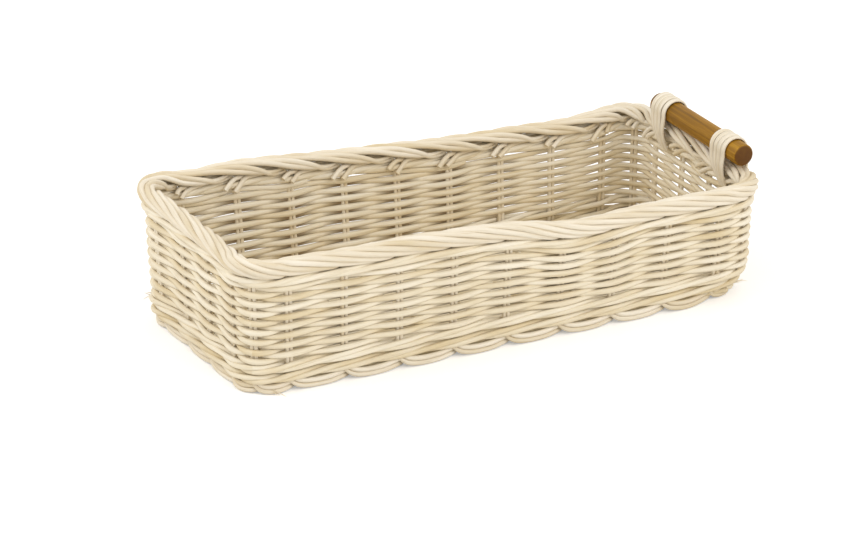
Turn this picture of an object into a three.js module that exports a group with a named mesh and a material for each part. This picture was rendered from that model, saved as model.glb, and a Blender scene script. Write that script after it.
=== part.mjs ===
// A long open cutlery basket woven from rattan core, with a round wooden grip bar lashed to one end.
// Millimetres, +Z up. It stands on Z = 0, its length runs along X and the bar is at the +X end.
import * as THREE from 'three';

// Stake line: the outline through the middle of the wall, at the foot and at the rim
const FOOT_LINE_LENGTH = 340;
const FOOT_LINE_WIDTH = 138.5;
const LENGTH_FLARE = 7.5;
const WIDTH_FLARE = 10;
const CORNER_RADIUS = 18;

// Stake spaces of a side. Those next to a corner stake are a share of the others.
const LONG_SIDE_SPACES = 10;
const SHORT_SIDE_SPACES = 5;
const CORNER_SPACE_SHARE = 0.6;

// Rods
const STAKE_ROD_D = 2.8;
const RODS_PER_STAKE = 2;
const WEAVER_D = 2.7;
const WALE_D = 2.6;
const ROD_CLEARANCE = 0.3;
const CORNER_CLEARANCE = 0.7;
const ROD_SIDES = 4;

// Bands of the wall, from the ground up
const FOOT_HEIGHT = 8.5;
const FOOT_WALE_ROUNDS = 2;
const FULL_ROWS = 14;
const RIM_WALE_ROUNDS = 1;
const ROW_SLACK_PLAIN_END = 0.58;
const ROW_SLACK_BAR_END = 0.18;
const RIM_SAG = 3;

// Packing rows lie on the full ones and build up the plain end. Each reaches past that end's two corner
// stakes by a number of spaces, and its tails stick out a share of a space behind the last stakes.
const PACKING_ROWS = [{ back: 6, front: 7 }, { back: 3, front: 4 }];
const PACKING_TAIL = 0.3;

// A wale rod takes these shares of a stake space to reach the wall's middle and to change level
const WALE_RODS = 3;
const WALE_CROSSING = 0.4;
const WALE_DIP = 0.16;

// Foot loop of a stake, in stake spaces along the wall
const LOOP_OUT_BY = 0.4;
const LOOP_TURN_IN = 0.72;
const LOOP_FLAT_BY = 1;
const LOOP_END = 1.2;
const TAIL_LENGTH = 9;
const LOOP_STEPS = 7;
const FOOT_WORN_FLAT = 0.4;
const STAKE_BEND_RADIUS = 3.6;

// Rolled rim: each stake end winds over the roll, from inside to outside, while it runs along the wall.
// Angles are seen along the wall: 0 is outside, a quarter turn is on top and half a turn is inside.
const ROLL_RADIUS = 4.8;
const ROLL_START = 1 / 3;
const ROLL_SPACES = 4 + 1 / 3;
const ROLL_STEPS_PER_SPACE = 3;
const ROLL_START_ANGLE = THREE.MathUtils.degToRad(235);
const ROLL_TURN_PER_SPACE = THREE.MathUtils.degToRad(66);
const ROLL_PAIR_WIDTH = 4.4;

// Floor of rods laid side by side along the length
const FLOOR_ROD_D = 3;
const FLOOR_RODS = 42;
const FLOOR_CORNER_RADIUS = 13;
const FLOOR_ROD_PROFILE = [[0, 0.25], [0.3, 0.5], [0.7, 0.5]];

// Grip bar and its two lashings, at the +X end
const BAR_D = 14;
const BAR_LENGTH = 104;
const BAR_CENTRE_Y = -4;
const BAR_CHAMFER = 1.4;
const BAR_SIDES = 24;
const BAR_CLEARANCE = 0.4;
const NEAR_OVERHANG = 9.5;
const FAR_OVERHANG = 3;
const STRIP_WIDTH = 4.2;
const STRIPS_PER_LASHING = 4;
const STRIP_THICKNESS = 2;
const LASHING_DROP = 5;
const LASHING_ARC_STEPS = 8;

// Worked out from the sizes above
const UP = new THREE.Vector3(0, 0, 1);
const RIM_LINE_LENGTH = FOOT_LINE_LENGTH + LENGTH_FLARE;
const RIM_LINE_WIDTH = FOOT_LINE_WIDTH + WIDTH_FLARE;
const STAKE_COUNT = 2 * (LONG_SIDE_SPACES + SHORT_SIDE_SPACES);
const PAIR_WIDTH = RODS_PER_STAKE * STAKE_ROD_D;
const CORNER_STEP = Math.PI / 6;
const CORNERS = [0, LONG_SIDE_SPACES, STAKE_COUNT / 2, STAKE_COUNT / 2 + LONG_SIDE_SPACES];
const WALE_STEP = WALE_D + ROD_CLEARANCE;
const WEAVE_ROWS = FULL_ROWS + PACKING_ROWS.length;
const FOOT_WALE_TOP = FOOT_HEIGHT + FOOT_WALE_ROUNDS * 2 * WALE_STEP;
const LOOP_OUT = STAKE_ROD_D / 2 + ROD_CLEARANCE + WALE_D;
const ROLL_HALF_WIDTH = ROLL_RADIUS + STAKE_ROD_D / 2;
const ROLL_CENTRE = ROLL_HALF_WIDTH;
const SIDES = [
  { spaces: LONG_SIDE_SPACES, along: 'length', heading: 0 },
  { spaces: SHORT_SIDE_SPACES, along: 'width', heading: Math.PI / 2 },
  { spaces: LONG_SIDE_SPACES, along: 'length', heading: Math.PI },
  { spaces: SHORT_SIDE_SPACES, along: 'width', heading: 3 * Math.PI / 2 },
];

const { clamp, lerp, smoothstep } = THREE.MathUtils;

// The side that a place on the wall is on. A place is counted in stake spaces, anticlockwise seen from
// above, from the middle of the front left corner.
function sideAt(place) {
  let left = THREE.MathUtils.euclideanModulo(place, STAKE_COUNT);
  for (const side of SIDES) {
    if (left < side.spaces) return { side, left };
    left -= side.spaces;
  }
  return { side: SIDES[0], left: 0 };
}

// Distance along a side, in its longer stake spaces
function spaced(left, spaces) {
  const saved = Math.min(left, 1) + Math.max(0, left - spaces + 1);
  return left - (1 - CORNER_SPACE_SHARE) * saved;
}

// Plan of the stake line at a share of the wall's height: a point and the outward direction there
function wallPlan(place, share) {
  const size = {
    length: lerp(FOOT_LINE_LENGTH, RIM_LINE_LENGTH, share),
    width: lerp(FOOT_LINE_WIDTH, RIM_LINE_WIDTH, share),
  };
  const { side, left } = sideAt(place);
  const across = side.along === 'length' ? size.width : size.length;
  const halfStraight = size[side.along] / 2 - CORNER_RADIUS;
  const halfArc = CORNER_RADIUS * Math.PI / 4;
  const done = spaced(left, side.spaces) / spaced(side.spaces, side.spaces);
  const travel = (done - 0.5) * 2 * (halfStraight + halfArc);
  const past = Math.max(0, Math.abs(travel) - halfStraight) / CORNER_RADIUS;
  const turn = Math.sign(travel) * past;
  const run = Math.sign(travel) * Math.min(Math.abs(travel), halfStraight);
  const x = run + CORNER_RADIUS * Math.sin(turn);
  const y = -across / 2 + CORNER_RADIUS * (1 - Math.cos(turn));
  const facing = side.heading - Math.PI / 2 + turn;
  return {
    point: new THREE.Vector3(x, y, 0).applyAxisAngle(UP, side.heading),
    outward: new THREE.Vector3(Math.cos(facing), Math.sin(facing), 0),
  };
}

// Share of the way from the plain end to the bar end
function endShare(place) {
  return wallPlan(place, 1).point.x / RIM_LINE_LENGTH + 0.5;
}

// Height of the woven rows: the rim falls from the plain end to the bar end and sags between them
function weaveHeight(place) {
  const share = endShare(place);
  const plain = WEAVE_ROWS * (WEAVER_D + ROW_SLACK_PLAIN_END);
  const bar = FULL_ROWS * (WEAVER_D + ROW_SLACK_BAR_END);
  return lerp(plain, bar, share) - RIM_SAG * 4 * share * (1 - share);
}

// First and last stake of a packing row, counted on past the last stake of the basket
function packingSpan({ back, front }) {
  return [CORNERS[3] - back, STAKE_COUNT + front];
}

// Rows at a place. The gap beyond a packing row's end closes in the second stake space.
function rowsAt(place) {
  let rows = FULL_ROWS;
  for (const row of PACKING_ROWS) {
    const [first, last] = packingSpan(row);
    const opposite = (first + last - STAKE_COUNT) / 2;
    const round = THREE.MathUtils.euclideanModulo(place - opposite, STAKE_COUNT);
    const beyond = Math.abs(round - STAKE_COUNT / 2) - (last - first) / 2;
    rows += clamp(2 - beyond, 0, 1);
  }
  return rows;
}

function rowHeight(place, row) {
  return FOOT_WALE_TOP + (row + 0.5) * weaveHeight(place) / rowsAt(place);
}

function weaveTop(place) {
  return FOOT_WALE_TOP + weaveHeight(place);
}

function rimBase(place) {
  return weaveTop(place) + RIM_WALE_ROUNDS * 2 * WALE_STEP + ROD_CLEARANCE;
}

function wallPoint(place, out, height) {
  const plan = wallPlan(place, height / rimBase(place));
  return plan.point.addScaledVector(plan.outward, out).setZ(height);
}

// Length of the stake space next to a corner, at the foot
function cornerSpace(side) {
  const straight = (side.along === 'length' ? FOOT_LINE_LENGTH : FOOT_LINE_WIDTH) - 2 * CORNER_RADIUS;
  return (straight + CORNER_RADIUS * Math.PI / 2) * CORNER_SPACE_SHARE / spaced(side.spaces, side.spaces);
}

// Place on a corner, turned from the corner's middle by an angle
function cornerPlace(corner, turn) {
  const side = sideAt(turn < 0 ? corner - 0.5 : corner + 0.5).side;
  return corner + CORNER_RADIUS * turn / cornerSpace(side);
}

// How far a rod's middle stands from the stake line where it passes a stake. It crosses the short spaces
// by a corner more steeply, so there it needs more room.
function passOffset(rodD, place) {
  const clear = STAKE_ROD_D / 2 + ROD_CLEARANCE + rodD / 2;
  const away = Math.min(...[...CORNERS, STAKE_COUNT].map((corner) => Math.abs(place - corner)));
  if (away > 1) return clear;
  const cross = clear / (WALE_CROSSING * cornerSpace(SIDES[1]));
  const bend = away === 0 ? Math.tan(CORNER_STEP / 2) + cross : cross;
  const room = Math.max(0, PAIR_WIDTH / 2 * bend - STAKE_ROD_D / 4);
  return clear + room + (away === 0 ? CORNER_CLEARANCE : ROD_CLEARANCE);
}

// Closed outline of a rod, as a polygon of the round rod's area with flats above and below
function rodSection(diameter) {
  const corner = 2 * Math.PI / ROD_SIDES;
  const radius = diameter / 2 * Math.sqrt(corner / Math.sin(corner));
  const outline = [];
  for (let i = 0; i < ROD_SIDES; i++) {
    const angle = corner * (i + 0.5);
    outline.push([radius * Math.cos(angle), radius * Math.sin(angle)]);
  }
  return outline;
}

// Closed outline of rods lying side by side, crowned over each of its bumps
function bandSection(width, thickness, bumps) {
  const upper = [];
  for (let i = 0; i <= 2 * bumps; i++) {
    const crest = i % 2 === 1;
    upper.push([width * (0.5 - i / (2 * bumps)), crest ? thickness / 2 : thickness / 4]);
  }
  return [...upper, ...upper.map(([a, b]) => [-a, -b])];
}

// A body swept through stations, each with a point, the direction that the section's height takes and,
// where the section is narrower there, the share of its width that is left
function sweep(stations, section, closed) {
  const count = stations.length;
  const sides = section.length;
  const positions = [];
  stations.forEach(({ point, height, narrow = 1, tall = 1 }, i) => {
    const before = stations[closed ? (i + count - 1) % count : Math.max(i - 1, 0)].point;
    const after = stations[closed ? (i + 1) % count : Math.min(i + 1, count - 1)].point;
    const along = after.clone().sub(before).normalize();
    const up = height.clone().addScaledVector(along, -height.dot(along)).normalize();
    const across = along.clone().cross(up);
    for (const [a, b] of section) {
      const corner = point.clone().addScaledVector(across, a * narrow).addScaledVector(up, b * tall);
      positions.push(corner.x, corner.y, corner.z);
    }
  });
  const index = [];
  const spans = closed ? count : count - 1;
  for (let i = 0; i < spans; i++) {
    const here = i * sides;
    const next = ((i + 1) % count) * sides;
    for (let j = 0; j < sides; j++) {
      const k = (j + 1) % sides;
      index.push(here + j, next + j, here + k, here + k, next + j, next + k);
    }
  }
  if (!closed) {
    const caps = THREE.ShapeUtils.triangulateShape(section.map(([a, b]) => new THREE.Vector2(a, b)), []);
    const last = (count - 1) * sides;
    for (const [a, b, c] of caps) {
      index.push(a, b, c, last + c, last + b, last + a);
    }
  }
  const geometry = new THREE.BufferGeometry();
  geometry.setAttribute('position', new THREE.Float32BufferAttribute(positions, 3));
  geometry.setIndex(index);
  geometry.computeVertexNormals();
  return geometry;
}

const core = { color: 0xe6d8ba, roughness: 0.7, metalness: 0 };
const cane = { color: 0xeee4cc, roughness: 0.6, metalness: 0 };
const wood = { color: 0xa3713a, roughness: 0.55, metalness: 0 };

function piece(name, geometry, finish) {
  const mesh = new THREE.Mesh(geometry, new THREE.MeshStandardMaterial(finish));
  mesh.name = name;
  return mesh;
}

function numbered(name, number) {
  return `${name}_${String(number).padStart(2, '0')}`;
}

// Share of a stake space that a stake's bend takes up
function bendSpace(place, share) {
  return STAKE_BEND_RADIUS / wallPlan(place, share).point.distanceTo(wallPlan(place + 1, share).point);
}

// Foot end of a stake, from its tail under the floor, round the loop and up to the wall
function footLoop(stake) {
  const stations = [];
  const bend = bendSpace(stake, 0);
  const bendBottom = FOOT_HEIGHT - STAKE_BEND_RADIUS;
  for (let i = 0; i <= LOOP_STEPS; i++) {
    const along = lerp(LOOP_END, bend, i / LOOP_STEPS);
    const place = stake + along;
    const outward = smoothstep(along, 0, LOOP_OUT_BY);
    const inward = smoothstep(along, LOOP_TURN_IN, LOOP_END);
    const flat = smoothstep(along, LOOP_TURN_IN, LOOP_FLAT_BY);
    const out = LOOP_OUT * outward - (LOOP_OUT + TAIL_LENGTH) * inward;
    const lowest = lerp(PAIR_WIDTH / 2, STAKE_ROD_D / 2, flat) - FOOT_WORN_FLAT;
    const height = lerp(bendBottom, lowest, smoothstep(along, bend, LOOP_OUT_BY));
    const lie = wallPlan(place, 0).outward.multiplyScalar(1 - flat).addScaledVector(UP, -flat);
    stations.push({ point: wallPoint(place, out, height), height: lie });
  }
  for (const turn of [Math.PI / 4, Math.PI / 2]) {
    const place = stake + bend * (1 - Math.sin(turn));
    const height = FOOT_HEIGHT - STAKE_BEND_RADIUS * Math.cos(turn);
    stations.push({ point: wallPoint(place, 0, height), height: wallPlan(place, 0).outward });
  }
  return stations;
}

// Rim end of a stake: it bends over along the wall, climbs the inside of the roll, crosses its top and
// comes down outside
function rimStrand(stake) {
  const stations = [];
  const bend = bendSpace(stake, 1);
  const level = PAIR_WIDTH / 2 + ROD_CLEARANCE;
  for (const turn of [0, Math.PI / 4, Math.PI / 2]) {
    const place = stake + bend * (1 - Math.cos(turn));
    const height = rimBase(stake) + level - STAKE_BEND_RADIUS * (1 - Math.sin(turn));
    stations.push({ point: wallPoint(place, 0, height), height: wallPlan(place, 1).outward });
  }
  const steps = Math.round((ROLL_START + ROLL_SPACES) * ROLL_STEPS_PER_SPACE);
  for (let i = 1; i <= steps; i++) {
    const along = i / ROLL_STEPS_PER_SPACE;
    const place = stake + along;
    const lead = smoothstep(along, bend, ROLL_START);
    const wound = Math.max(0, along - ROLL_START) * ROLL_TURN_PER_SPACE;
    const angle = lerp(Math.PI, ROLL_START_ANGLE, lead) - wound;
    const out = ROLL_RADIUS * Math.cos(angle) * lead;
    const rise = lerp(level, ROLL_CENTRE + ROLL_RADIUS * Math.sin(angle), lead);
    const lie = wallPlan(place, 1).outward.multiplyScalar(-Math.cos(angle));
    lie.addScaledVector(UP, -Math.sin(angle));
    stations.push({
      point: wallPoint(place, out, rimBase(place) + rise),
      height: lie,
      narrow: lerp(1, ROLL_PAIR_WIDTH / PAIR_WIDTH, lead),
    });
  }
  return stations;
}

// The loops are worn flat where the basket stands
function wearFlat(geometry) {
  const points = geometry.attributes.position;
  for (let i = 0; i < points.count; i++) {
    points.setZ(i, Math.max(points.getZ(i), 0));
  }
  return geometry;
}

function stakePiece(stake) {
  const stations = [...footLoop(stake), ...rimStrand(stake)];
  const geometry = sweep(stations, bandSection(PAIR_WIDTH, STAKE_ROD_D, 1), false);
  return piece(numbered('stake', stake + 1), wearFlat(geometry), core);
}

// Places where a rod that goes round the basket bends: each stake, and both sides of a corner stake
function bendPlaces() {
  const places = [];
  for (let stake = 0; stake < STAKE_COUNT; stake++) {
    if (CORNERS.includes(stake)) {
      places.push(cornerPlace(stake, -CORNER_STEP), stake, cornerPlace(stake, CORNER_STEP));
    } else {
      places.push(stake);
    }
  }
  return places;
}

// Bends of a packing row, counted on past the last stake, and its two ends
function packingPlaces(row) {
  const [first, last] = packingSpan(PACKING_ROWS[row - FULL_ROWS]);
  const round = bendPlaces();
  const bends = [...round, ...round.map((place) => place + STAKE_COUNT)];
  const between = bends.filter((place) => place >= first && place <= last);
  return [first - PACKING_TAIL, ...between, last + PACKING_TAIL];
}

// One row of plain weave: outside one stake, inside the next
function weaveRow(row) {
  const packing = row >= FULL_ROWS;
  const places = packing ? packingPlaces(row) : bendPlaces();
  const stations = places.map((place) => {
    const stake = Math.round(place);
    const side = (stake + row) % 2 === 0 ? 1 : -1;
    const fade = 1 - 2 * Math.abs(place - stake);
    const out = side * fade * passOffset(WEAVER_D, stake % STAKE_COUNT);
    return { point: wallPoint(place, out, rowHeight(place, row)), height: UP };
  });
  return piece(numbered('weave_row', row + 1), sweep(stations, rodSection(WEAVER_D), !packing), core);
}

// One rod of a three-rod wale, over three stakes: outside the first, low, and the second, high, then
// inside the third. Out is a share of the pass offset and level a share of half the step between strands.
const WALE_KNOTS = [
  { phase: 0, out: 1, level: -1 },
  { phase: 0.5 - WALE_DIP / 2, out: 1, level: -1 },
  { phase: 0.5 + WALE_DIP / 2, out: 1, level: 1 },
  { phase: 1, out: 1, level: 1 },
  { phase: 1 + WALE_CROSSING, out: 0, level: 1 },
  { phase: 1 + 2 * WALE_CROSSING, out: -1, level: 1 },
  { phase: WALE_RODS - 2 * WALE_CROSSING, out: -1, level: -1 },
  { phase: WALE_RODS - WALE_CROSSING, out: 0, level: -1 },
  { phase: WALE_RODS, out: 1, level: -1 },
];

function waleShape(phase) {
  const after = WALE_KNOTS.findIndex((knot) => knot.phase > phase);
  const a = WALE_KNOTS[after - 1];
  const b = WALE_KNOTS[after];
  const share = (phase - a.phase) / (b.phase - a.phase);
  return { out: lerp(a.out, b.out, share), level: lerp(a.level, b.level, share) };
}

function waleRod(name, rod, bottomAt) {
  const places = [];
  for (const corner of CORNERS) {
    places.push(cornerPlace(corner, -CORNER_STEP), cornerPlace(corner, CORNER_STEP));
  }
  for (let turn = rod - WALE_RODS; turn < STAKE_COUNT; turn += WALE_RODS) {
    places.push(...WALE_KNOTS.slice(1).map((knot) => turn + knot.phase));
  }
  const inRound = places.filter((place) => place >= 0 && place < STAKE_COUNT).sort((a, b) => a - b);
  const stations = inRound.map((place) => {
    const shape = waleShape(THREE.MathUtils.euclideanModulo(place - rod, WALE_RODS));
    const out = shape.out * passOffset(WALE_D, Math.round(place) % STAKE_COUNT);
    const height = bottomAt(place) + WALE_STEP + shape.level * WALE_STEP / 2;
    return { point: wallPoint(place, out, height), height: UP };
  });
  return piece(numbered(name, rod + 1), sweep(stations, rodSection(WALE_D), true), core);
}

function wale(name, rounds, bandBottom) {
  const rods = [];
  for (let round = 0; round < rounds; round++) {
    const bottomAt = (place) => bandBottom(place) + 2 * round * WALE_STEP;
    for (let rod = 0; rod < WALE_RODS; rod++) {
      rods.push(waleRod(rounds > 1 ? `${name}_${round + 1}` : name, rod, bottomAt));
    }
  }
  return rods;
}

// Floor, inside the wale and on the stakes' tails. Its rods end on a rounded outline.
function baseMat() {
  const middle = STAKE_ROD_D - FOOT_WORN_FLAT + ROD_CLEARANCE + FLOOR_ROD_D / 2;
  const inset = passOffset(WALE_D, CORNERS[0]) + WALE_D / 2 + ROD_CLEARANCE;
  const halfLength = FOOT_LINE_LENGTH / 2 - inset;
  const halfWidth = FOOT_LINE_WIDTH / 2 - inset;
  const reach = (y) => {
    const into = THREE.MathUtils.clamp(Math.abs(y) - halfWidth + FLOOR_CORNER_RADIUS, 0, FLOOR_CORNER_RADIUS);
    return halfLength - FLOOR_CORNER_RADIUS + Math.sqrt(FLOOR_CORNER_RADIUS ** 2 - into ** 2);
  };
  const stations = [];
  for (let rod = 0; rod <= FLOOR_RODS; rod++) {
    const profile = rod < FLOOR_RODS ? FLOOR_ROD_PROFILE : FLOOR_ROD_PROFILE.slice(0, 1);
    for (const [across, rise] of profile) {
      const y = halfWidth * (2 * (rod + across) / FLOOR_RODS - 1);
      stations.push({
        point: new THREE.Vector3(0, y, middle), height: UP, narrow: reach(y), tall: rise * FLOOR_ROD_D,
      });
    }
  }
  return piece('base_mat', sweep(stations, [[1, 1], [-1, 1], [-1, -1], [1, -1]], false), core);
}

const BAR_END_PLACE = LONG_SIDE_SPACES + SHORT_SIDE_SPACES / 2;
const ROLL_TOP = rimBase(BAR_END_PLACE) + ROLL_CENTRE + ROLL_HALF_WIDTH;
const BAR_X = RIM_LINE_LENGTH / 2;
const BAR_Z = ROLL_TOP + BAR_CLEARANCE + BAR_D / 2;

// Round bar with broken edges, lying on the rim of the end wall
function gripBar() {
  const radius = BAR_D / 2;
  const half = BAR_LENGTH / 2;
  const profile = [
    [0, -half],
    [radius - BAR_CHAMFER, -half],
    [radius, -half + BAR_CHAMFER],
    [radius, half - BAR_CHAMFER],
    [radius - BAR_CHAMFER, half],
    [0, half],
  ].map(([r, y]) => new THREE.Vector2(r, y));
  const mesh = piece('grip_bar', new THREE.LatheGeometry(profile, BAR_SIDES), wood);
  mesh.position.set(BAR_X, BAR_CENTRE_Y, BAR_Z);
  return mesh;
}

// Band of cane strips over the bar and down both faces of the end wall, under the roll
function lashing(name, centreY) {
  const reach = Math.max(BAR_D / 2 + BAR_CLEARANCE, ROLL_HALF_WIDTH + ROD_CLEARANCE) + STRIP_THICKNESS / 2;
  const tuck = passOffset(WALE_D, CORNERS[1] + 1) + WALE_D / 2 + ROD_CLEARANCE + STRIP_THICKNESS / 2;
  const base = rimBase(BAR_END_PLACE);
  const profile = [[-tuck, base - LASHING_DROP, 1], [-reach, base, 1]];
  for (let i = 0; i <= LASHING_ARC_STEPS; i++) {
    const angle = Math.PI * (1 - i / LASHING_ARC_STEPS);
    profile.push([reach * Math.cos(angle), BAR_Z + reach * Math.sin(angle), 0]);
  }
  profile.push([reach, base, 1], [tuck, base - LASHING_DROP, 1]);
  const stations = profile.map(([out, height, straight]) => {
    const away = new THREE.Vector3(Math.sign(out), 0, 0);
    const round = new THREE.Vector3(out, 0, height - BAR_Z);
    return {
      point: new THREE.Vector3(BAR_X + out, centreY, height),
      height: straight ? away : round,
    };
  });
  const section = bandSection(STRIP_WIDTH * STRIPS_PER_LASHING, STRIP_THICKNESS, STRIPS_PER_LASHING);
  return piece(name, sweep(stations, section, false), cane);
}

const basket = new THREE.Group();
for (let stake = 0; stake < STAKE_COUNT; stake++) {
  basket.add(stakePiece(stake));
}
for (let row = 0; row < WEAVE_ROWS; row++) {
  basket.add(weaveRow(row));
}
basket.add(...wale('foot_wale', FOOT_WALE_ROUNDS, () => FOOT_HEIGHT));
basket.add(...wale('rim_wale', RIM_WALE_ROUNDS, weaveTop));
basket.add(baseMat());
basket.add(gripBar());
const lashingHalf = STRIP_WIDTH * STRIPS_PER_LASHING / 2;
basket.add(lashing('lashing_front', BAR_CENTRE_Y - BAR_LENGTH / 2 + NEAR_OVERHANG + lashingHalf));
basket.add(lashing('lashing_back', BAR_CENTRE_Y + BAR_LENGTH / 2 - FAR_OVERHANG - lashingHalf));

export default basket;
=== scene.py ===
# %% [markdown]
# # A woven cutlery basket
# The real basket is a long, low tray made of rattan core: pale round rods, soaked, bent and woven by hand.
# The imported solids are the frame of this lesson. Each one is a plain rod or band in its true place, and
# each piece drawn below takes the place of one of them with the rods, strips and grain that the eye sees.

# %% Load the frame
import bisect
import math
import random

import bpy
import numpy as np
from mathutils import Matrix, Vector, noise


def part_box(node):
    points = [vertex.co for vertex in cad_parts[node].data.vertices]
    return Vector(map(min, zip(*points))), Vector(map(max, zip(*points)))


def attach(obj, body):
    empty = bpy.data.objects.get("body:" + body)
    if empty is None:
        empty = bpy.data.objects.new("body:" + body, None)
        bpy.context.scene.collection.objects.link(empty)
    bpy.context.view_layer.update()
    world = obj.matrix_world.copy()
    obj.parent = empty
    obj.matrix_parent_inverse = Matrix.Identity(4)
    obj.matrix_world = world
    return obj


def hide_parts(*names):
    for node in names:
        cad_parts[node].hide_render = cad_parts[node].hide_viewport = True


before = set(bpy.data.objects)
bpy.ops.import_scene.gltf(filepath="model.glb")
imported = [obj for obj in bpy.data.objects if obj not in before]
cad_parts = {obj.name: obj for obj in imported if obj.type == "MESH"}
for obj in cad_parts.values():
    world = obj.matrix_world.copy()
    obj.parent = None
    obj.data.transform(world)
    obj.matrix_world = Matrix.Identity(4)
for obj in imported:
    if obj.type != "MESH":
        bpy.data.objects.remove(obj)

MM = 0.001
UP = Vector((0, 0, 1))
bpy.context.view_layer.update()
draw = random.Random(11)

# %% [markdown]
# ## Camera, floor and light
# A product picture is taken from far away with a long lens, so that straight edges stay nearly parallel.
# The camera stands 27.6 degrees to the left of the front wall and looks down by 22.6 degrees. The floor is a
# pale sheet, and two large soft lamps with an even sky light the basket at a plain level.

# %% Camera
AZIMUTH = math.radians(-27.6)
ELEVATION = math.radians(22.64)
CAMERA_AWAY = 3.0
IMAGE_WIDTH_PX = 855
FOCAL_PX = 4870
SENSOR = 36.0
back = Vector((
    math.sin(AZIMUTH) * math.cos(ELEVATION),
    -math.cos(AZIMUTH) * math.cos(ELEVATION),
    math.sin(ELEVATION),
))
aim = Vector((-8.9, 14.6, 21.1)) * MM
turn = back.to_track_quat("Z", "Y").to_euler()
bpy.ops.object.camera_add(location=aim + back * CAMERA_AWAY, rotation=turn)
camera = bpy.context.object
camera.data.sensor_width = SENSOR
camera.data.lens = FOCAL_PX * SENSOR / IMAGE_WIDTH_PX
bpy.context.scene.camera = camera
bpy.context.scene.view_settings.view_transform = "Standard"
print("lens, mm:", round(camera.data.lens, 1))

# %% [markdown]
# ## Helpers for finishes
# Colours are picked as they look on a screen, so one function turns such a hex value into the linear
# numbers that a shader needs. Another adds one node, with its settings and links, to a material.

# %% Colour and node helpers
def colour(code):
    """Linear RGBA of an sRGB hex colour."""
    channels = [int(code[i:i + 2], 16) / 255 for i in (1, 3, 5)]
    linear = [c / 12.92 if c <= 0.04045 else ((c + 0.055) / 1.055) ** 2.4 for c in channels]
    return (*linear, 1.0)


def add_node(tree, kind, inputs=None, **settings):
    """One node, with its settings, and its inputs given as values or as sockets to link."""
    made = tree.nodes.new(kind)
    for key, value in settings.items():
        setattr(made, key, value)
    for name, value in (inputs or {}).items():
        if isinstance(value, bpy.types.NodeSocket):
            tree.links.new(value, made.inputs[name])
        else:
            made.inputs[name].default_value = value
    return made


def new_finish(name):
    """An empty material and its node tree, with the surface shader and output in place."""
    finish = bpy.data.materials.new(name)
    finish.use_nodes = True
    tree = finish.node_tree
    return finish, tree, tree.nodes["Principled BSDF"]


def blend(tree, share, base, code):
    """Output that goes from a base colour to a hex colour by a share."""
    mixed = add_node(tree, "ShaderNodeMix", {"Factor": share}, data_type="RGBA")
    tree.links.new(base, mixed.inputs[6])
    mixed.inputs[7].default_value = colour(code)
    return mixed.outputs[2]


# %% Floor, sky and lamps
PAPER_GLOW = 0.3
SKY_STRENGTH = 0.77
bpy.ops.object.select_all(action="DESELECT")
bpy.ops.mesh.primitive_plane_add(size=12.0, location=(0, 0, -0.0002))
floor = bpy.context.object
floor.name = "floor_sheet"
paper, paper_tree, paper_shader = new_finish("matt backdrop paper")
paper_shader.inputs["Base Color"].default_value = colour("#F2F1EF")
paper_shader.inputs["Roughness"].default_value = 0.9
paper_shader.inputs["Specular IOR Level"].default_value = 0.0
paper_seen = add_node(paper_tree, "ShaderNodeLightPath")
paper_shader.inputs["Emission Color"].default_value = (1, 1, 1, 1)
paper_glow = add_node(paper_tree, "ShaderNodeMath",
                      {0: paper_seen.outputs["Is Camera Ray"], 1: PAPER_GLOW}, operation="MULTIPLY")
paper_tree.links.new(paper_glow.outputs[0], paper_shader.inputs["Emission Strength"])
floor.data.materials.append(paper)

sky = bpy.data.worlds.new("even studio sky")
sky.use_nodes = True
bpy.context.scene.world = sky
sky_tree = sky.node_tree
sky_light = sky_tree.nodes["Background"]
sky_light.inputs["Color"].default_value = colour("#FFFDFA")
sky_light.inputs["Strength"].default_value = SKY_STRENGTH
sky_seen = add_node(sky_tree, "ShaderNodeBackground", {"Color": (1, 1, 1, 1), "Strength": 1.0})
ray = add_node(sky_tree, "ShaderNodeLightPath")
seen = add_node(sky_tree, "ShaderNodeMath",
                {0: ray.outputs["Is Camera Ray"], 1: ray.outputs["Is Glossy Ray"]}, operation="MAXIMUM")
sky_mix = add_node(sky_tree, "ShaderNodeMixShader",
                   {0: seen.outputs[0], 1: sky_light.outputs[0], 2: sky_seen.outputs[0]})
sky_tree.links.new(sky_mix.outputs[0], sky_tree.nodes["World Output"].inputs["Surface"])


def soft_lamp(name, place, size, watts):
    """A square soft box that faces the basket."""
    facing = (Vector(place) - Vector((0, 0, 0.04))).to_track_quat("Z", "Y").to_euler()
    bpy.ops.object.light_add(type="AREA", location=place, rotation=facing)
    lamp = bpy.context.object
    lamp.name = name
    lamp.data.size = size
    lamp.data.energy = watts
    return lamp


soft_lamp("key_soft_box", (-1.25, 0.25, 1.25), 0.9, 8.8)
soft_lamp("fill_soft_box", (0.6, -1.4, 1.1), 1.2, 10.4)

# %% [markdown]
# ## The line of the wall
# A basket maker thinks in stakes: the pairs of upright rods that everything else is woven round. A place on
# the wall is therefore counted in stake spaces, going round from the middle of the front left corner. One
# function gives the plan of the wall at a place, and another puts a point on it, at a depth and a height.

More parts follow.
